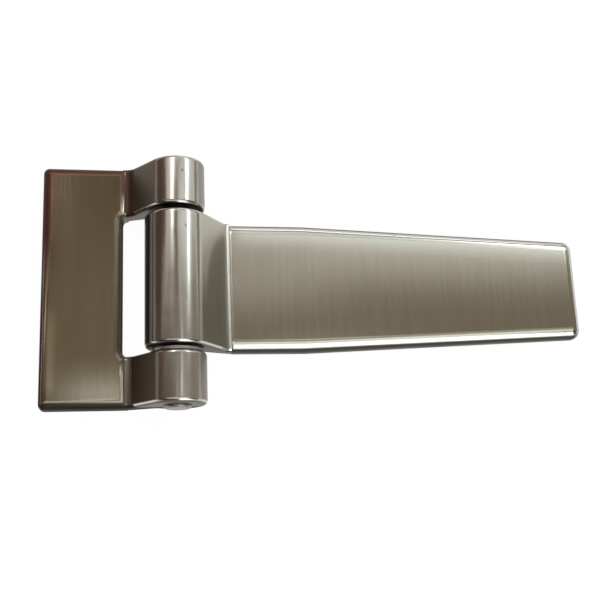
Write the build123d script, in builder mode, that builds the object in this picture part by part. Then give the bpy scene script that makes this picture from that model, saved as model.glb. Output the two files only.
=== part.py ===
from build123d import *
import os
from math import cos, radians, sin, tan

# Weld-on strap hinge, cast in stainless steel, lying on its weld faces.
# Origin: centre of the fixed leaf's weld face. +X runs along the strap, +Y along the pin
# and +Z out of the weld faces. All sizes are in millimetres.

# Fixed leaf
leaf_width = 29.0
leaf_height = 90.0
leaf_thickness = 8.0
leaf_edge_radius = 3.2
leaf_corner_radius = 2.0
slot_width = 7.75
slot_corner_radius = 2.0
ear_radius = 10.5
ear_length = 18.6

# Strap leaf
barrel_radius = 11.5
strap_thickness = 6.5
strap_reach = 158.4
strap_straight = 48.0
strap_tip_width = 39.6
strap_edge_radius = 4.5
strap_start_radius = 1.3
strap_tip_radius = 3.5
strap_start = 19.6

# Knuckle line
pin_height = 12.5
pin_radius = 5.0
pin_running_clearance = 0.05
pin_proud = 1.2
pin_end_radius = 1.0
washer_outer_radius = 9.5
washer_thickness = 1.0
washer_bore_clearance = 0.1
washer_play = 0.7
top_gap = 1.7

# Webs between the plates and their knuckles
web_slope = 54.0
web_fillet = 4.5
web_drop = 0.8
web_overlap = 0.25
neck_fillet = 2.0
neck_drop = 0.35
arch_slope = 24.0
arch_fillet = 2.0
knuckle_edge_radius = 1.5
back_edge_radius = 0.6

# Derived places
leaf_slot_side = leaf_width / 2
leaf_web_side = leaf_slot_side + slot_corner_radius
pin_x = leaf_slot_side + slot_width + barrel_radius
ear_end = leaf_height / 2
ear_inner = ear_end - ear_length
barrel_bottom = -ear_inner + washer_thickness + washer_play
barrel_top = ear_inner - top_gap
barrel_length = barrel_top - barrel_bottom
barrel_middle = (barrel_top + barrel_bottom) / 2

os.makedirs("parts", exist_ok=True)


def draw_knuckle_section(section, radius, side, plate_run, floor, foot_radius):
    """Draw a knuckle and the web that slopes from it down to its plate, in section.

    side is -1 where the plate lies towards -X and +1 where it lies towards +X. plate_run is
    the distance from the pin to the plate's side, floor is the height of the web's foot and
    foot_radius rounds the hollow there.
    """
    slope = radians(web_slope)
    touch_run = radius * sin(slope)
    touch_height = pin_height + radius * cos(slope)
    foot_run = touch_run + (touch_height - floor) / tan(slope)
    foot_end = foot_run + foot_radius * tan(slope / 2)
    root_run = max(plate_run, foot_end) + web_overlap
    with Locations((pin_x, pin_height)):
        Circle(radius)
    Polygon(
        (pin_x, pin_height),
        (pin_x + side * touch_run, touch_height),
        (pin_x + side * foot_run, floor),
        (pin_x + side * root_run, floor),
        (pin_x + side * root_run, 0),
        (pin_x + side * plate_run, 0),
        (pin_x, plate_run * tan(radians(arch_slope))),
        align=None,
    )
    foot = Vector(pin_x + side * foot_run, floor)
    fillet(section.vertices().sort_by_distance(foot)[0], foot_radius)
    raised = section.vertices().filter_by(lambda vertex: vertex.Y > 0)
    fillet(raised.sort_by(Axis.Y)[0], arch_fillet)


def knuckle_end_edges(knuckle):
    """Edges round both ends of a knuckle and its web, except the weld back and the buried end."""
    ends = knuckle.faces().filter_by(Axis.Y).edges()
    return ends.filter_by(lambda edge: edge.center().Z > 0).filter_by(Axis.Z, reverse=True)


# One ear of the fixed leaf, with the web that carries it
with BuildPart() as ear:
    with BuildSketch(Plane.XZ.offset(ear_inner)) as ear_section:
        draw_knuckle_section(
            ear_section,
            ear_radius,
            -1,
            pin_x - leaf_web_side,
            leaf_thickness - web_drop,
            web_fillet,
        )
    extrude(amount=ear_length)
    fillet(knuckle_end_edges(ear), knuckle_edge_radius)

# Fixed leaf: the weld plate, with the slot's rounded corners, and its two bored ears
with BuildPart() as fixed_leaf:
    with BuildSketch(Plane.XY) as leaf_outline:
        with BuildLine():
            slot_edge = Line((leaf_slot_side, 0), (leaf_slot_side, ear_inner - slot_corner_radius))
            slot_corner = TangentArc(slot_edge @ 1, (leaf_web_side, ear_inner), tangent=slot_edge % 1)
            Polyline(
                slot_corner @ 1,
                (leaf_web_side, ear_end),
                (-leaf_width / 2, ear_end),
                (-leaf_width / 2, 0),
            )
            mirror(about=Plane.XZ)
        make_face()
        for row in (0, -1):
            corner = leaf_outline.vertices().group_by(Axis.Y)[row].sort_by(Axis.X)[0]
            fillet(corner, leaf_corner_radius)
    extrude(amount=leaf_thickness)
    fillet(fixed_leaf.faces().sort_by(Axis.Z)[-1].edges(), leaf_edge_radius)
    weld_edges = fixed_leaf.faces().sort_by(Axis.Z)[0].edges()
    fillet(weld_edges.filter_by(lambda edge: edge.center().X < leaf_slot_side), back_edge_radius)
    add(ear.part)
    mirror(ear.part, about=Plane.XZ)
    with BuildSketch(Plane.XZ) as ear_bore:
        with Locations((pin_x, pin_height)):
            Circle(pin_radius)
    extrude(amount=ear_end, both=True, mode=Mode.SUBTRACT)
fixed_leaf.part.label = "fixed_leaf"
export_step(fixed_leaf.part, "parts/fixed_leaf.step")

# Strap leaf: the barrel with its neck, and the tapered strap that starts beside it
with BuildPart() as barrel:
    with BuildSketch(Plane.XZ.offset(-barrel_top)) as barrel_section:
        draw_knuckle_section(
            barrel_section,
            barrel_radius,
            1,
            strap_start,
            strap_thickness - neck_drop,
            neck_fillet,
        )
    extrude(amount=barrel_length)
    fillet(knuckle_end_edges(barrel), knuckle_edge_radius)

with BuildPart() as strap_leaf:
    with BuildSketch(Plane.XY.move(Location((pin_x, barrel_middle, 0)))) as strap_outline:
        with BuildLine():
            Polyline(
                (strap_start, 0),
                (strap_start, barrel_length / 2),
                (strap_straight, barrel_length / 2),
                (strap_reach, strap_tip_width / 2),
                (strap_reach, 0),
            )
            mirror(about=Plane.XZ)
        make_face()
        fillet(strap_outline.vertices().group_by(Axis.X)[-1], strap_tip_radius)
    extrude(amount=strap_thickness)
    face_edges = strap_leaf.faces().sort_by(Axis.Z)[-1].edges().sort_by(Axis.X)
    fillet(face_edges[1:], strap_edge_radius)
    start_edges = strap_leaf.faces().sort_by(Axis.X)[0].edges()
    upper_edges = start_edges.filter_by(lambda edge: edge.center().Z > strap_thickness / 2)
    fillet(upper_edges, strap_start_radius)
    weld_edges = strap_leaf.faces().sort_by(Axis.Z)[0].edges().sort_by(Axis.X)
    fillet(weld_edges[1:], back_edge_radius)
    add(barrel.part)
    with BuildSketch(Plane.XZ) as barrel_bore:
        with Locations((pin_x, pin_height)):
            Circle(pin_radius + pin_running_clearance)
    extrude(amount=ear_end, both=True, mode=Mode.SUBTRACT)
strap_leaf.part.label = "strap_leaf"
export_step(strap_leaf.part, "parts/strap_leaf.step")

# Hinge pin, pressed into both ears, with its rounded ends standing a little proud
with BuildPart() as hinge_pin:
    with BuildSketch(Plane.XZ) as pin_section:
        with Locations((pin_x, pin_height)):
            Circle(pin_radius)
    extrude(amount=ear_end + pin_proud, both=True)
    fillet(hinge_pin.edges().filter_by(GeomType.CIRCLE), pin_end_radius)
hinge_pin.part.label = "hinge_pin"
export_step(hinge_pin.part, "parts/hinge_pin.step")

# Thrust washer, lying on the lower ear under the barrel
with BuildPart() as thrust_washer:
    with BuildSketch(Plane.XZ.offset(ear_inner - washer_thickness)) as washer_section:
        with Locations((pin_x, pin_height)):
            Circle(washer_outer_radius)
            Circle(pin_radius + washer_bore_clearance, mode=Mode.SUBTRACT)
    extrude(amount=washer_thickness)
thrust_washer.part.label = "thrust_washer"
export_step(thrust_washer.part, "parts/thrust_washer.step")
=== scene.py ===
# %% [markdown]
# # A weld-on strap hinge
# This lesson dresses a small cast hinge. A short leaf is welded to a post, a long strap is welded
# to a door, and a pin joins their knuckles. CAD has made the exact solids already, so Blender's
# job is the finish: brushed faces, polished knuckles, dull cast sides darkened partly with painted
# shade, a few painted highlights and reflections, and the light they mirror.

# %% Load the imported hinge
from math import pi, radians

import bmesh
import bpy
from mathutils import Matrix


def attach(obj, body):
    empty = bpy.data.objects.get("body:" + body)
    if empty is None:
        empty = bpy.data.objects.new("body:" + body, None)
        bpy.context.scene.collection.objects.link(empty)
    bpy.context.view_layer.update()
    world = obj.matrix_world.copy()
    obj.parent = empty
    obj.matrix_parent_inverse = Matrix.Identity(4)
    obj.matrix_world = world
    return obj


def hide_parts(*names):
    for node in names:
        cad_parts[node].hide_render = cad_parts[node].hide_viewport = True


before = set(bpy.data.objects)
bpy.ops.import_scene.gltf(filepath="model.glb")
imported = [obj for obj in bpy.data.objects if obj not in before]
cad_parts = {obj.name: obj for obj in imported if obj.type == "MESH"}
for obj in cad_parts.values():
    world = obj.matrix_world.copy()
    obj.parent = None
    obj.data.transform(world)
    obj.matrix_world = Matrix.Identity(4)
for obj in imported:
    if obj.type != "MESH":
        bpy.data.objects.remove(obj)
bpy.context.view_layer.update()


# %% [markdown]
# ## The camera
# The hinge was photographed from above while it lay on its weld faces, so the camera looks down
# with the strap pointing right. Its place, turn and lens were found by matching the outline of
# the CAD solids to the picture, which is steadier than judging a view by eye.

# %% Place the camera
camera_place = (0.018233, -0.091024, 0.346282)
camera_turn = (14.34693, -9.71461, -2.27036)

camera_lens = bpy.data.cameras.new("hinge_camera")
camera_lens.sensor_width = 36.0
camera_lens.lens = 56.946
camera_lens.clip_start = 0.01

camera = bpy.data.objects.new("hinge_camera", camera_lens)
camera.location = camera_place
camera.rotation_euler = [radians(turn) for turn in camera_turn]
bpy.context.scene.collection.objects.link(camera)
bpy.context.scene.camera = camera
bpy.context.scene.view_settings.view_transform = "Standard"
print("Camera height in mm:", round(1000 * camera.location.z))

# %% [markdown]
# ## Node helpers
# A material here is a small network of nodes. Writing every node out by hand hides the idea, so
# one helper makes a node and sets its inputs, and the others each make one kind of node: a soft
# switch, a sum, a scale and a blend of two colours.

# %% Make a node and a soft switch
def add_node(tree, kind, **inputs):
    """Add one shader node and set inputs by name, with underscores standing for spaces."""
    node = tree.nodes.new(kind)
    for name, value in inputs.items():
        node.inputs[name.replace("_", " ")].default_value = value
    return node


def smooth_step(tree, source, start, end):
    """A soft switch: 0 where source has not reached start, 1 where it is past end."""
    step = add_node(tree, "ShaderNodeMapRange", From_Min=start, From_Max=end)
    step.interpolation_type = "SMOOTHSTEP"
    tree.links.new(source, step.inputs["Value"])
    return step.outputs["Result"]


print("Node and switch helpers ready")

# %% Join numbers and blend colours
def combine(tree, operation, first, second):
    """Join two number sockets with one sum."""
    node = tree.nodes.new("ShaderNodeMath")
    node.operation = operation
    tree.links.new(first, node.inputs[0])
    tree.links.new(second, node.inputs[1])
    return node.outputs["Value"]


def scaled(tree, source, factor, offset=0.0):
    """Multiply a number socket by a factor and add an offset."""
    node = tree.nodes.new("ShaderNodeMath")
    node.operation = "MULTIPLY_ADD"
    tree.links.new(source, node.inputs[0])
    node.inputs[1].default_value = factor
    node.inputs[2].default_value = offset
    return node.outputs["Value"]


def mix_colours(tree, factor, low, high):
    """Blend from the low colour to the high colour as factor goes from 0 to 1."""
    node = tree.nodes.new("ShaderNodeMix")
    node.data_type = "RGBA"
    tree.links.new(factor, node.inputs["Factor"])
    # A Mix node's colour sockets come after its number and vector ones, under the same names.
    low_socket, high_socket = node.inputs[6], node.inputs[7]
    for socket, value in ((low_socket, low), (high_socket, high)):
        if isinstance(value, tuple):
            socket.default_value = (*value, 1.0)
        else:
            tree.links.new(value, socket)
    return node.outputs[2]


print("Number and colour helpers ready")

# %% [markdown]
# ## The floor
# The hinge lies on a plain white table. A flat grid just under the weld faces does for it. The
# camera and the metal both see it as nearly white, and a part of its own shading is kept, so the
# hinge still drops a soft shadow on it.

# %% Lay the floor
floor_half_width = 1.2
floor_gap = 0.0002
floor_middle = 0.07

floor_shape = bmesh.new()
bmesh.ops.create_grid(floor_shape, x_segments=1, y_segments=1, size=floor_half_width)
bmesh.ops.translate(floor_shape, verts=floor_shape.verts, vec=(floor_middle, 0.0, -floor_gap))
floor_mesh = bpy.data.meshes.new("floor")
floor_shape.to_mesh(floor_mesh)
floor_shape.free()
floor = bpy.data.objects.new("floor", floor_mesh)
bpy.context.scene.collection.objects.link(floor)
print("Floor width in m:", 2 * floor_half_width)

# %% Paint the floor white
table_white = (0.95, 0.95, 0.95, 1.0)
glow_white = (1.0, 1.0, 1.0, 1.0)
glow_strength = 1.04
glow_share = 0.93

floor_finish = bpy.data.materials.new("white_table")
floor_finish.use_nodes = True
table = floor_finish.node_tree
table.nodes.clear()
table_paint = add_node(table, "ShaderNodeBsdfDiffuse", Color=table_white)
table_glow = add_node(table, "ShaderNodeEmission", Color=glow_white, Strength=glow_strength)
rays = table.nodes.new("ShaderNodeLightPath").outputs
seen = combine(table, "MAXIMUM", rays["Is Camera Ray"], rays["Is Glossy Ray"])
seen = combine(table, "MAXIMUM", seen, rays["Is Transmission Ray"])
table_mix = table.nodes.new("ShaderNodeMixShader")
table.links.new(scaled(table, seen, glow_share), table_mix.inputs["Fac"])
table.links.new(table_paint.outputs["BSDF"], table_mix.inputs[1])
table.links.new(table_glow.outputs["Emission"], table_mix.inputs[2])
table_out = table.nodes.new("ShaderNodeOutputMaterial")
table.links.new(table_mix.outputs["Shader"], table_out.inputs["Surface"])
floor_mesh.materials.append(floor_finish)
print("Floor paint has", len(table.nodes), "nodes")

# %% [markdown]
# ## The room
# Bare metal has almost no colour of its own: it shows the room. The room here is a warm, rather
# dark one, redder to the left, greyer to the right and darker towards the front. A ramp of a few
# tones round the world does for its walls, because the metal shows them only blurred.

# %% Colour the room
wall_tones = [
    (0.0, (0.085, 0.045, 0.032)),
    (0.28, (0.13, 0.095, 0.068)),
    (0.5, (0.21, 0.172, 0.122)),
    (0.75, (0.24, 0.21, 0.165)),
    (1.0, (0.25, 0.225, 0.17)),
]
front_from, front_to = -0.6, -0.05
front_light = 0.3

room = bpy.data.worlds.new("warm_room")
room.use_nodes = True
bpy.context.scene.world = room
walls = room.node_tree
walls.nodes.clear()
wall_place = walls.nodes.new("ShaderNodeTexCoord")
wall_split = walls.nodes.new("ShaderNodeSeparateXYZ")
walls.links.new(wall_place.outputs["Generated"], wall_split.inputs["Vector"])
wall_ramp = walls.nodes.new("ShaderNodeValToRGB")
for place, _ in wall_tones[1:-1]:
    wall_ramp.color_ramp.elements.new(place)
for stop, (place, tone) in zip(wall_ramp.color_ramp.elements, wall_tones):
    stop.position = place
    stop.color = (*tone, 1.0)
wall_side = add_node(walls, "ShaderNodeMapRange", From_Min=-1.0, From_Max=1.0)
walls.links.new(wall_split.outputs["X"], wall_side.inputs["Value"])
walls.links.new(wall_side.outputs["Result"], wall_ramp.inputs["Fac"])
front_fade = smooth_step(walls, wall_split.outputs["Y"], front_from, front_to)
wall_light = walls.nodes.new("ShaderNodeBackground")
walls.links.new(scaled(walls, front_fade, 1.0 - front_light, front_light), wall_light.inputs["Strength"])
walls.links.new(wall_ramp.outputs["Color"], wall_light.inputs["Color"])
wall_out = walls.nodes.new("ShaderNodeOutputWorld")
walls.links.new(wall_light.outputs["Background"], wall_out.inputs["Surface"])
print("Wall tones:", len(wall_tones))

# %% [markdown]
# ## The lamps
# Flat panels under a ceiling one metre up give the white streaks on the knuckles, the pale upper
# half of the strap and its bright lower edge. Panels are easier to place than aimed lamps, because
# a mirror shows each one as it lies. Where two panels overlap they hang at different heights, so
# that both are seen and their light adds up.

# %% Hang the ceiling panels
ceiling_height = 1.0
cool = (0.91, 0.98, 1.0)
warm = (1.0, 0.93, 0.86)


def hang_panel(name, left, right, near, far, brightness, tone=cool, drop=0.0):
    """Hang one flat lamp below the ceiling, facing straight down."""
    width = right - left
    depth = far - near
    lamp = bpy.data.lights.new(name, "AREA")
    lamp.shape = "RECTANGLE"
    lamp.size = width
    lamp.size_y = depth
    lamp.energy = pi * width * depth * brightness
    lamp.color = tone
    panel = bpy.data.objects.new(name, lamp)
    panel.location = ((left + right) / 2, (near + far) / 2, ceiling_height - drop)
    bpy.context.scene.collection.objects.link(panel)
    return panel


# Each line gives the left, right, near and far borders in metres, and the brightness.
panels = [
    hang_panel("left_tube", -0.37, -0.2, 0.37, 1.5, 2.8),
    hang_panel("middle_glow", -0.2, 0.1, 0.48, 1.6, 0.8, warm),
    hang_panel("gap_glow", -0.2, -0.12, 0.39, 0.48, 0.95, warm),
    hang_panel("gap_haze", -0.2, -0.12, 0.335, 0.39, 0.4, warm),
    hang_panel("right_tube", 0.78, 1.06, 0.36, 1.5, 2.8),
    hang_panel("near_strip", -0.06, 0.04, -0.1, 0.1, 0.6),
    hang_panel("near_tube", 0.23, 0.31, 0.05, 0.165, 2.0),
    hang_panel("near_glow", 0.31, 0.65, 0.02, 0.14, 0.25),
    hang_panel("front_haze", 0.12, 0.9, -0.26, 0.02, 0.35),
    hang_panel("front_glow", 0.12, 0.9, -0.68, -0.26, 1.2),
    hang_panel("left_front_glow", -0.9, 0.1, -0.75, -0.15, 0.8, warm),
    hang_panel("back_glow", 0.1, 0.82, 0.62, 1.6, 0.16),
    hang_panel("ear_tube", -0.46, -0.08, 0.45, 1.5, 1.0, drop=0.09),
    hang_panel("left_glow", -0.8, -0.17, 0.31, 1.6, 0.62, warm, drop=0.06),
    hang_panel("far_left_glow", -1.4, -0.8, 0.28, 0.42, 0.4, warm, drop=0.06),
    hang_panel("far_right_glow", 0.74, 1.35, 0.435, 1.6, 0.85, drop=0.06),
    hang_panel("side_glow", 1.35, 2.0, 0.59, 1.6, 0.62, drop=0.06),
    hang_panel("far_side_glow", 2.0, 4.0, 0.85, 2.6, 0.65, drop=0.06),
]
print("Ceiling panels:", len(panels))

# %% [markdown]
# A real lamp's glow fades at its border, and a single panel ends sharply. The strap's upper half
# and the leaf's foot show such fading light, so there a few thin panels end one after another.

# %% Step the glow at its border
# Each step gives its near and far borders in metres, and its brightness.
start_ramp = [(0.208, 1.6, 0.12), (0.226, 1.6, 0.12), (0.241, 1.6, 0.14), (0.326, 0.37, 0.45)]
tip_ramp = [
    (0.263, 0.47, 0.16),
    (0.28, 0.47, 0.16),
    (0.297, 0.47, 0.16),
    (0.314, 1.6, 0.16),
    (0.331, 1.6, 0.16),
]
foot_ramp = [(0.1, 0.112, 0.14), (0.1, 0.123, 0.13), (0.1, 0.134, 0.1), (0.1, 0.148, 0.06)]
ramps = [(0.1, 0.28, start_ramp), (0.28, 0.82, tip_ramp), (-0.07, 0.04, foot_ramp)]
step_drop = 0.01

ramp_panels = []
for left, right, ramp in ramps:
    for step, (near, far, brightness) in enumerate(ramp, start=1):
        panel = hang_panel("ramp_glow", left, right, near, far, brightness, drop=step_drop * step)
        ramp_panels.append(panel)
print("Ramp panels:", len(ramp_panels))

# %% [markdown]
# The strap's rounded long edges look sideways into the room, past the ceiling. A window in front
# gives the lower edge its white line, and a low one at the back gives the upper edge its thin one.

# %% Stand the two windows
def stand_window(name, left, right, low, high, away, brightness):
    """Stand one flat lamp upright, in front where away is below 0, facing the hinge."""
    half_height = (high - low) / 2
    window = hang_panel(name, left, right, away - half_height, away + half_height, brightness)
    window.location.z = low + half_height
    window.rotation_euler.x = radians(90 if away < 0 else -90)
    return window


windows = [
    stand_window("front_window", 0.12, 0.95, low=0.1, high=1.4, away=-1.0, brightness=2.6),
    stand_window("back_window", 0.1, 1.0, low=0.15, high=0.6, away=1.6, brightness=1.6),
]
print("Windows:", len(windows))

# %% [markdown]
# ## Smooth skins for the castings
# The CAD nodes arrive as loose triangles, which a mirror finish would show as facets. Modelling
# the castings again would only risk a different shape, so each one is copied, its loose corners
# are merged, and weighted normals keep the flat faces flat while the rounded edges shade softly.
# A flat map called brush, seen from above, later tells the brushed faces which way their lines run.

# %% Copy a CAD node as one smooth skin
merge_distance = 2e-6
sharp_angle = radians(35)
brush_scale = 20.0
flat_weight = 50


def smooth_skin(node, body, name):
    """Copy a CAD node, merge its corners and let weighted normals shade it."""
    skin = bmesh.new()
    skin.from_mesh(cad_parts[node].data)
    bmesh.ops.remove_doubles(skin, verts=skin.verts, dist=merge_distance)
    brush = skin.loops.layers.uv.new("brush")
    for face in skin.faces:
        face.smooth = True
        for loop in face.loops:
            loop[brush].uv = brush_scale * loop.vert.co.xy
    for edge in skin.edges:
        if len(edge.link_faces) == 2:
            edge.smooth = edge.calc_face_angle() < sharp_angle
    mesh = bpy.data.meshes.new(name)
    skin.to_mesh(mesh)
    skin.free()
    piece = bpy.data.objects.new(name, mesh)
    bpy.context.scene.collection.objects.link(piece)
    weighting = piece.modifiers.new("flat_faces", "WEIGHTED_NORMAL")
    weighting.keep_sharp = True
    weighting.weight = flat_weight
    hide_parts(node)
    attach(piece, body)
    print(name, "has", len(mesh.polygons), "faces")
    return piece


leaf_skin = smooth_skin("fixed_leaf", "fixed", "leaf_casting")
strap_skin = smooth_skin("strap_leaf", "strap", "strap_casting")
pin_skin = smooth_skin("hinge_pin", "fixed", "pin_turning")
washer_skin = smooth_skin("thrust_washer", "fixed", "washer_ring")

# %% [markdown]
# ## Three finishes on one casting
# A grinding belt has run across the flat faces and left fine lines along the pin's direction. The
# knuckles, webs and rounded edges are buffed bright, a little wavy from the wheel. The low sides
# are dull from the mould, and their dark colour is partly painted shade. One material can hold
# all three, because the place on the casting, and the way it faces there, say which finish it has.

# %% Read the place on a casting
def open_casting(name):
    """Start a casting's material, with named sockets for where a point lies and how it faces."""
    finish = bpy.data.materials.new(name)
    finish.use_nodes = True
    tree = finish.node_tree
    tree.nodes.clear()
    where = tree.nodes.new("ShaderNodeTexCoord")
    spot = {"place": where.outputs["Object"]}
    for output, prefix in (("Object", ""), ("Normal", "facing_")):
        split = tree.nodes.new("ShaderNodeSeparateXYZ")
        tree.links.new(where.outputs[output], split.inputs["Vector"])
        for axis in "XYZ":
            spot[prefix + axis.lower()] = split.outputs[axis]
    return finish, tree, spot


def zone(tree, spot, limits):
    """A soft zone: 1 where every named socket has gone past its limit (socket, from, to)."""
    inside = None
    for socket, start, end in limits:
        step = smooth_step(tree, spot[socket], start, end)
        inside = step if inside is None else combine(tree, "MULTIPLY", inside, step)
    return inside


print("Casting helpers ready")

# %% [markdown]
# Belt lines, streaks, clouds, waves and pits could come from pictures of steel, but noise has no
# seams and needs no picture. All five are the same noise, only stretched by different amounts: a
# high scale across and a low one along the pin draws it out into lines.

# %% Stretch the noises
noise_scales = {
    "fine_lines": ((1500.0, 30.0, 300.0), 2.0),
    "broad_lines": ((640.0, 38.0, 60.0), 3.0),
    "clouds": ((32.0, 22.0, 32.0), 4.0),
    "waves": ((70.0, 36.0, 70.0), 2.0),
    "specks": ((420.0, 300.0, 420.0), 1.0),
}
noise_roughness = 0.6


def add_noises(tree, spot):
    """Add each noise to the casting's named sockets."""
    for name, (scale, detail) in noise_scales.items():
        stretch = add_node(tree, "ShaderNodeMapping", Scale=scale)
        tree.links.new(spot["place"], stretch.inputs["Vector"])
        noise = add_node(
            tree, "ShaderNodeTexNoise", Scale=1.0, Detail=detail, Roughness=noise_roughness
        )
        tree.links.new(stretch.outputs["Vector"], noise.inputs["Vector"])
        spot[name] = noise.outputs["Fac"]


print("Noises:", ", ".join(noise_scales))

# %% [markdown]
# ## Buffed steel and dark sides, partly painted shade
# The buffing wheel reached what looks upwards, and the front rounding of the knuckles. The steep
# sides, most of all those in the slot, get a dark colour that is partly the cast finish and partly
# painted shade. The colour of a place therefore follows the way it faces. Painting each face would
# do too, but this rule follows every rounding by itself. Small pits, where the casting was not
# quite sound, show the dark side colour again.

# %% Colour the buffed steel and the sides
# Each limit is a socket with the values where the zone starts and where it is full.
# Places are in metres, and the facing sockets go from -1 to 1.
shared_zones = {
    # Up-facing places are buffed bright; the others take the dark side tones, partly painted shade.
    "level": [("facing_z", 0.6, 0.78)],
    # The knuckles' steep sides in the slot are kept dark as painted shade.
    "slot_side": [("facing_x", -0.66, -0.82), ("x", 0.034, 0.03)],
    "front_turn": [("facing_y", -0.15, -0.35), ("facing_y", -0.75, -0.55), ("z", 0.0085, 0.0095)],
    "right_side": [("facing_x", 0.2, 0.7)],
    "back": [("facing_z", -0.7, -0.95)],
    "pits": [("specks", 0.71, 0.82)],
    "streaks": [("broad_lines", 0.35, 0.65)],
    "cloudy": [("clouds", 0.35, 0.7)],
}
back_tone = (0.38, 0.36, 0.32)


def buffed_zone(tree, spot):
    """Find what is buffed, leaving the knuckles' sides in the slot dark as painted shade."""
    level = zone(tree, spot, shared_zones["level"])
    slot_side = zone(tree, spot, shared_zones["slot_side"])
    open_level = combine(tree, "MULTIPLY", level, scaled(tree, slot_side, -1.0, 1.0))
    return combine(tree, "MAXIMUM", open_level, zone(tree, spot, shared_zones["front_turn"]))


def buffed_and_shaded_steel(tree, spot, buffed, left_tone, right_tone, bright_tone):
    """Colour the buffed steel, its pits, and the sides, partly painted shade, and back round it."""
    # The sides' dark tones are partly the cast finish and partly painted shade.
    sides = mix_colours(tree, zone(tree, spot, shared_zones["right_side"]), left_tone, right_tone)
    sides = mix_colours(tree, zone(tree, spot, shared_zones["back"]), sides, back_tone)
    buffed_and_shaded = mix_colours(tree, buffed, sides, bright_tone)
    return mix_colours(tree, zone(tree, spot, shared_zones["pits"]), buffed_and_shaded, sides)


print("Shared zones:", ", ".join(shared_zones))

# %% [markdown]
# ## The brushed faces and the join
# The belt's lines are partly colour, partly roughness and partly a very low bump. Anisotropy
# stretches the reflections across the lines, as on real brushed steel. The two shaders are then
# mixed by zone. A mix of shaders keeps the buffed knuckles free of the belt's anisotropy.

# %% Join the brushed face to the buffed steel
streak_depth = 0.95
cloud_rough = 0.08
dull_rough = 0.2
line_rough = 0.08
rim_rough = 0.3
brush_anisotropy = 0.8


def brushed_steel(tree, spot, face_tone):
    """Colour a ground face with streaks from the belt."""
    streak_tone = tuple(streak_depth * part for part in face_tone)
    return mix_colours(tree, zone(tree, spot, shared_zones["streaks"]), streak_tone, face_tone)


def add_bump(tree, height, strength, distance):
    """Raise a surface a little by one noise."""
    bump = add_node(tree, "ShaderNodeBump", Strength=strength, Distance=distance)
    tree.links.new(height, bump.inputs["Height"])
    return bump.outputs["Normal"]


def metal(tree, colour, roughness, normal, anisotropy=0.0):
    """Add one bare metal shader."""
    shader = add_node(tree, "ShaderNodeBsdfPrincipled", Metallic=1.0, Anisotropic=anisotropy)
    tree.links.new(colour, shader.inputs["Base Color"])
    tree.links.new(roughness, shader.inputs["Roughness"])
    tree.links.new(normal, shader.inputs["Normal"])
    return shader


def join_finishes(tree, spot, buffed, brushed, buffed_and_shaded, face, polish_rough, face_rough, rim=None):
    """Mix the buffed and the brushed metal by zone, and close the material."""
    cloudy = zone(tree, spot, shared_zones["cloudy"])
    worn_rough = scaled(tree, cloudy, cloud_rough, polish_rough)
    worn_rough = combine(tree, "ADD", worn_rough, scaled(tree, buffed, -dull_rough, dull_rough))
    brush_rough = scaled(tree, spot["fine_lines"], line_rough, face_rough)
    if rim is not None:
        rim_roughening = scaled(tree, rim, rim_rough)
        worn_rough = combine(tree, "ADD", worn_rough, rim_roughening)
        brush_rough = combine(tree, "ADD", brush_rough, rim_roughening)
    wavy = add_bump(tree, spot["waves"], strength=0.4, distance=0.0004)
    lined = add_bump(tree, spot["fine_lines"], strength=0.06, distance=0.00004)
    polished = metal(tree, buffed_and_shaded, worn_rough, wavy)
    ground = metal(tree, face, brush_rough, lined, brush_anisotropy)
    along = tree.nodes.new("ShaderNodeTangent")
    along.direction_type = "UV_MAP"
    along.uv_map = "brush"
    tree.links.new(along.outputs["Tangent"], ground.inputs["Tangent"])
    both = tree.nodes.new("ShaderNodeMixShader")
    tree.links.new(brushed, both.inputs["Fac"])
    tree.links.new(polished.outputs["BSDF"], both.inputs[1])
    tree.links.new(ground.outputs["BSDF"], both.inputs[2])
    out = tree.nodes.new("ShaderNodeOutputMaterial")
    tree.links.new(both.outputs["Shader"], out.inputs["Surface"])


print("Face and join helpers ready")

# %% [markdown]
# ## The strap's finish
# The strap's face starts at a crease where the neck ends, which has a painted highlight. The neck
# has a painted reflection, darker in an oval and pale round it, the barrel has a painted highlight
# line in the slot, and the face has a pale painted sheen along its upper edge. That edge tapers, so
# the distance to it is worked out from the taper. Zones measured in metres are chosen over a
# painted map, because they stay sharp at any distance.

# %% Name the strap's tones and zones
strap_tones = {
    "bright": (0.6, 0.58, 0.54),
    # The left-facing sides' dark tone is partly dull cast finish and partly painted shade.
    "dull_and_shade": (0.055, 0.047, 0.038),
    # A painted highlight line on the barrel's side in the slot.
    "slot_highlight": (0.24, 0.215, 0.175),
    # Painted shade in the neck's oval and on right sides, with a pale painted reflection round it.
    "neck": (0.3, 0.285, 0.23),
    "pale_neck_reflection": (0.5, 0.475, 0.4),
    # A painted highlight on the crease where the face starts.
    "crease_highlight": (0.97, 0.96, 0.92),
    "face": (0.58, 0.54, 0.455),
    # A pale painted sheen along the face's upper edge.
    "pale_edge_sheen": (0.77, 0.755, 0.7),
}
strap_zones = {
    "brushed": [("z", 0.0056, 0.0063), ("x", 0.0537, 0.0553)],
    # These zones place the painted highlight line, painted reflection, crease highlight and sheen.
    "slot_highlight": [("facing_x", -0.76, -0.8), ("facing_x", -0.87, -0.83)],
    "pale_neck_reflection": [("oval", 0.92, 1.12), ("x", 0.06, 0.056), ("y", -0.012, 0.004)],
    "crease_highlight": [("x", 0.0529, 0.0533), ("x", 0.0548, 0.0544)],
    "pale_edge_sheen": [("reach", 0.013, 0.022), ("x", 0.053, 0.06)],
}
# The neck's oval holds the painted shade, with the pale painted reflection round it.
oval_middle = (0.0528, -0.0045)
oval_half = (0.0082, 0.0232)
taper_start = 0.08175
taper_slope = 0.04438
print("Strap zones:", ", ".join(strap_zones))

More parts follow.
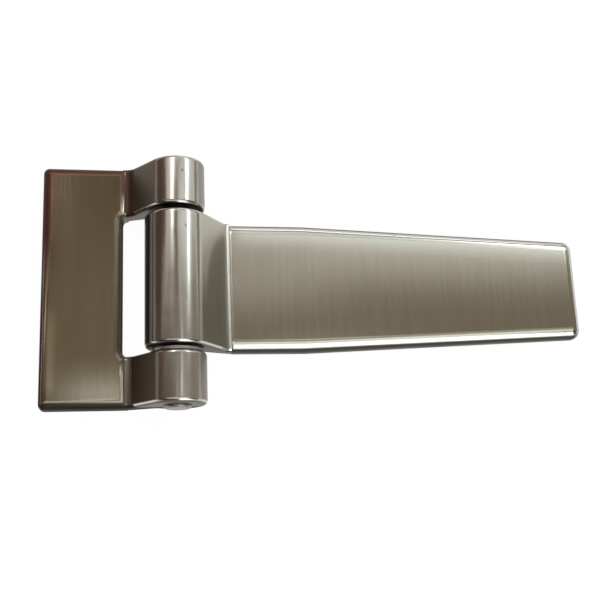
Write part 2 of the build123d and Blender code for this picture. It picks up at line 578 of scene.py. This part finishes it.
# %% Measure the neck's oval and the strap's taper
def measure_strap(tree, spot):
    """Add the distance out of the neck's oval, and the reach towards the strap's upper edge."""
    moved = [-middle / half for middle, half in zip(oval_middle, oval_half)]
    stretched = [1 / half for half in oval_half]
    oval = add_node(tree, "ShaderNodeMapping", Location=(*moved, 0.0), Scale=(*stretched, 0.0))
    tree.links.new(spot["place"], oval.inputs["Vector"])
    length = tree.nodes.new("ShaderNodeVectorMath")
    length.operation = "LENGTH"
    tree.links.new(oval.outputs["Vector"], length.inputs[0])
    spot["oval"] = length.outputs["Value"]

    past_taper = tree.nodes.new("ShaderNodeMath")
    past_taper.operation = "MAXIMUM"
    past_taper.inputs[1].default_value = 0.0
    tree.links.new(scaled(tree, spot["x"], 1.0, -taper_start), past_taper.inputs[0])
    narrowed = scaled(tree, past_taper.outputs["Value"], taper_slope)
    spot["reach"] = combine(tree, "ADD", spot["y"], narrowed)


print("The strap narrows by", round(1000 * taper_slope), "mm a metre on each side")

# %% Finish the strap
def strap_steel():
    """Build the strap's material."""
    finish, tree, spot = open_casting("strap_steel")
    add_noises(tree, spot)
    measure_strap(tree, spot)
    inside = {name: zone(tree, spot, limits) for name, limits in strap_zones.items()}
    buffed = buffed_zone(tree, spot)
    tones = strap_tones
    # The sides get painted shade, a painted highlight line and a painted reflection at the neck.
    left = mix_colours(tree, inside["slot_highlight"], tones["dull_and_shade"], tones["slot_highlight"])
    right = mix_colours(tree, inside["pale_neck_reflection"], tones["neck"], tones["pale_neck_reflection"])
    # The crease gets a painted highlight.
    bright = mix_colours(tree, inside["crease_highlight"], tones["bright"], tones["crease_highlight"])
    buffed_and_shaded = buffed_and_shaded_steel(tree, spot, buffed, left, right, bright)
    face = brushed_steel(tree, spot, tones["face"])
    # A pale painted sheen along the face's upper edge.
    face = mix_colours(tree, inside["pale_edge_sheen"], face, tones["pale_edge_sheen"])
    join_finishes(
        tree, spot, buffed, inside["brushed"], buffed_and_shaded, face, polish_rough=0.16, face_rough=0.12
    )
    print("strap_steel has", len(tree.nodes), "nodes")
    return finish


strap_skin.data.materials.append(strap_steel())

# %% [markdown]
# ## The leaf's finish
# The leaf's face is darker towards the top, redder at the left and has a pale painted sheen at the
# lower left. Its rounded rims are red-brown at the left and top, darkened there by painted shade,
# and painted dark as shade at the foot and along the slot. Each is a soft zone with a tone, laid
# over the steel in turn.

# %% Name the leaf's tones and zones
leaf_tones = {
    "bright": (0.6, 0.575, 0.54),
    # The two side tones are partly dull cast finish and partly painted shade.
    "dull_and_shade": (0.122, 0.099, 0.076),
    "side": (0.28, 0.265, 0.24),
    "face": (0.6, 0.553, 0.45),
    # Darker towards the top of the face.
    "darker_top": (0.36, 0.315, 0.22),
    # Redder towards the upper left of the face.
    "redder_left": (0.3, 0.15, 0.11),
    # A pale painted sheen at the face's lower left.
    "pale_sheen": (0.9, 0.85, 0.74),
    # Red-brown rims at the left and top, darkened with painted shade.
    "red_rim_and_shade": (0.11, 0.048, 0.036),
    # Painted shade along the slot's rim, darkest on its steep wall.
    "slot_rim_shade": (0.22, 0.18, 0.125),
    "slot_wall_shade": (0.03, 0.025, 0.02),
    # Painted shade along the foot's rim and the lower left rim.
    "foot_rim_shade": (0.035, 0.026, 0.021),
}
leaf_zones = {
    "brushed": [("z", 0.0071, 0.0078), ("x", 0.0156, 0.014)],
    "plate": [("z", 0.0095, 0.0082)],
    # Where the face turns darker towards the top, and redder at the upper left.
    "darker_top": [("y", -0.01, 0.045)],
    "redder_left": [("x", -0.006, -0.0118), ("y", -0.012, 0.03)],
    # Where the pale painted sheen lies.
    "pale_sheen": [("x", -0.0075, -0.011), ("y", -0.006, -0.018), ("y", -0.042, -0.036)],
    # Where the rims carry red-brown and painted shade, along the slot too, and at the foot.
    "red_left": [("facing_x", -0.001, -0.05), ("y", -0.012, 0.02), ("facing_z", 0.05, 0.3)],
    "red_top": [("facing_y", 0.001, 0.05), ("y", 0.03, 0.036), ("facing_z", 0.05, 0.3)],
    "slot_rim_shade": [("facing_x", 0.001, 0.06), ("y", 0.028, 0.024), ("y", -0.032, -0.028)],
    "slot_wall_shade": [("facing_x", 0.74, 0.88)],
    "foot": [("facing_y", -0.05, -0.4), ("y", -0.034, -0.04)],
    "low_left": [("facing_x", -0.62, -0.74), ("y", 0.012, -0.012)],
}
# How strongly the face tones, the painted sheen and the rims' painted shade are laid on.
overlay_depth = 0.95
redder_left_depth = 0.6
print("Leaf zones:", ", ".join(leaf_zones))

# %% Finish the leaf
def leaf_steel():
    """Build the leaf's material."""
    finish, tree, spot = open_casting("leaf_steel")
    add_noises(tree, spot)
    inside = {name: zone(tree, spot, limits) for name, limits in leaf_zones.items()}
    depth = scaled(tree, inside["plate"], overlay_depth)
    inside["redder_left"] = scaled(tree, inside["redder_left"], redder_left_depth)
    inside["red_rim_and_shade"] = combine(tree, "MAXIMUM", inside["red_left"], inside["red_top"])
    inside["foot_rim_shade"] = combine(tree, "MAXIMUM", inside["foot"], inside["low_left"])
    tones = dict(leaf_tones)
    # The slot's rim gets painted shade, darkest on its steep wall.
    tones["slot_rim_shade"] = mix_colours(tree, inside["slot_wall_shade"], tones["slot_rim_shade"], tones["slot_wall_shade"])
    # Face tones, a pale painted sheen among them, then the rims' painted shade, are laid on in turn.
    face_overlays = ("darker_top", "redder_left", "pale_sheen")
    rims = ("red_rim_and_shade", "slot_rim_shade", "foot_rim_shade")
    laid = {name: combine(tree, "MULTIPLY", inside[name], depth) for name in (*face_overlays, *rims)}

    buffed = buffed_zone(tree, spot)
    buffed_and_shaded = buffed_and_shaded_steel(tree, spot, buffed, tones["dull_and_shade"], tones["side"], tones["bright"])
    face = brushed_steel(tree, spot, tones["face"])
    for overlay in face_overlays:
        face = mix_colours(tree, laid[overlay], face, tones[overlay])
    for rim in rims:
        face = mix_colours(tree, laid[rim], face, tones[rim])
        buffed_and_shaded = mix_colours(tree, laid[rim], buffed_and_shaded, tones[rim])
    rough_rims = combine(tree, "MAXIMUM", laid["red_rim_and_shade"], laid["slot_rim_shade"])
    rough_rims = combine(tree, "MAXIMUM", rough_rims, laid["foot_rim_shade"])
    join_finishes(
        tree, spot, buffed, inside["brushed"], buffed_and_shaded, face,
        polish_rough=0.18, face_rough=0.05, rim=rough_rims,
    )
    print("leaf_steel has", len(tree.nodes), "nodes")
    return finish


leaf_skin.data.materials.append(leaf_steel())

# %% [markdown]
# ## The pin and the washer
# Both are turned and plain. Fine rings from the lathe run round the pin's axis, so a ring wave
# on the distance from that axis gives them, and a little noise dulls the steel unevenly.

# %% Turn the pin and the washer
pin_axis = (0.03375, 0.0, 0.0125)
ring_scale = 400.0
patch_scale = 420.0
patch_depth = 0.7
patch_rough = 0.2


def turned_steel(name, tone, dullness):
    """Build a turned finish with fine rings round the pin's axis."""
    finish = bpy.data.materials.new(name)
    finish.use_nodes = True
    tree = finish.node_tree
    surface = tree.nodes["Principled BSDF"]
    surface.inputs["Metallic"].default_value = 1.0
    place = tree.nodes.new("ShaderNodeTexCoord").outputs["Object"]
    centre = add_node(tree, "ShaderNodeMapping", Location=tuple(-part for part in pin_axis))
    tree.links.new(place, centre.inputs["Vector"])
    rings = add_node(tree, "ShaderNodeTexWave", Scale=ring_scale, Distortion=0.6, Detail=2.0)
    rings.wave_type = "RINGS"
    rings.rings_direction = "Y"
    tree.links.new(centre.outputs["Vector"], rings.inputs["Vector"])
    noise = add_node(tree, "ShaderNodeTexNoise", Scale=patch_scale, Detail=4.0)
    tree.links.new(place, noise.inputs["Vector"])
    patches = noise.outputs["Fac"]
    dark_tone = tuple(patch_depth * part for part in tone)
    tree.links.new(mix_colours(tree, patches, dark_tone, tone), surface.inputs["Base Color"])
    tree.links.new(scaled(tree, patches, patch_rough, dullness), surface.inputs["Roughness"])
    ridges = add_bump(tree, rings.outputs["Fac"], strength=0.2, distance=0.00005)
    tree.links.new(ridges, surface.inputs["Normal"])
    print(name, "has", len(tree.nodes), "nodes")
    return finish


# The pin's tone is darker than the washer's, partly as painted shade, which keeps its end dark.
pin_skin.data.materials.append(turned_steel("pin_steel", tone=(0.3, 0.29, 0.285), dullness=0.3))
washer_skin.data.materials.append(turned_steel("washer_steel", tone=(0.5, 0.48, 0.45), dullness=0.3))
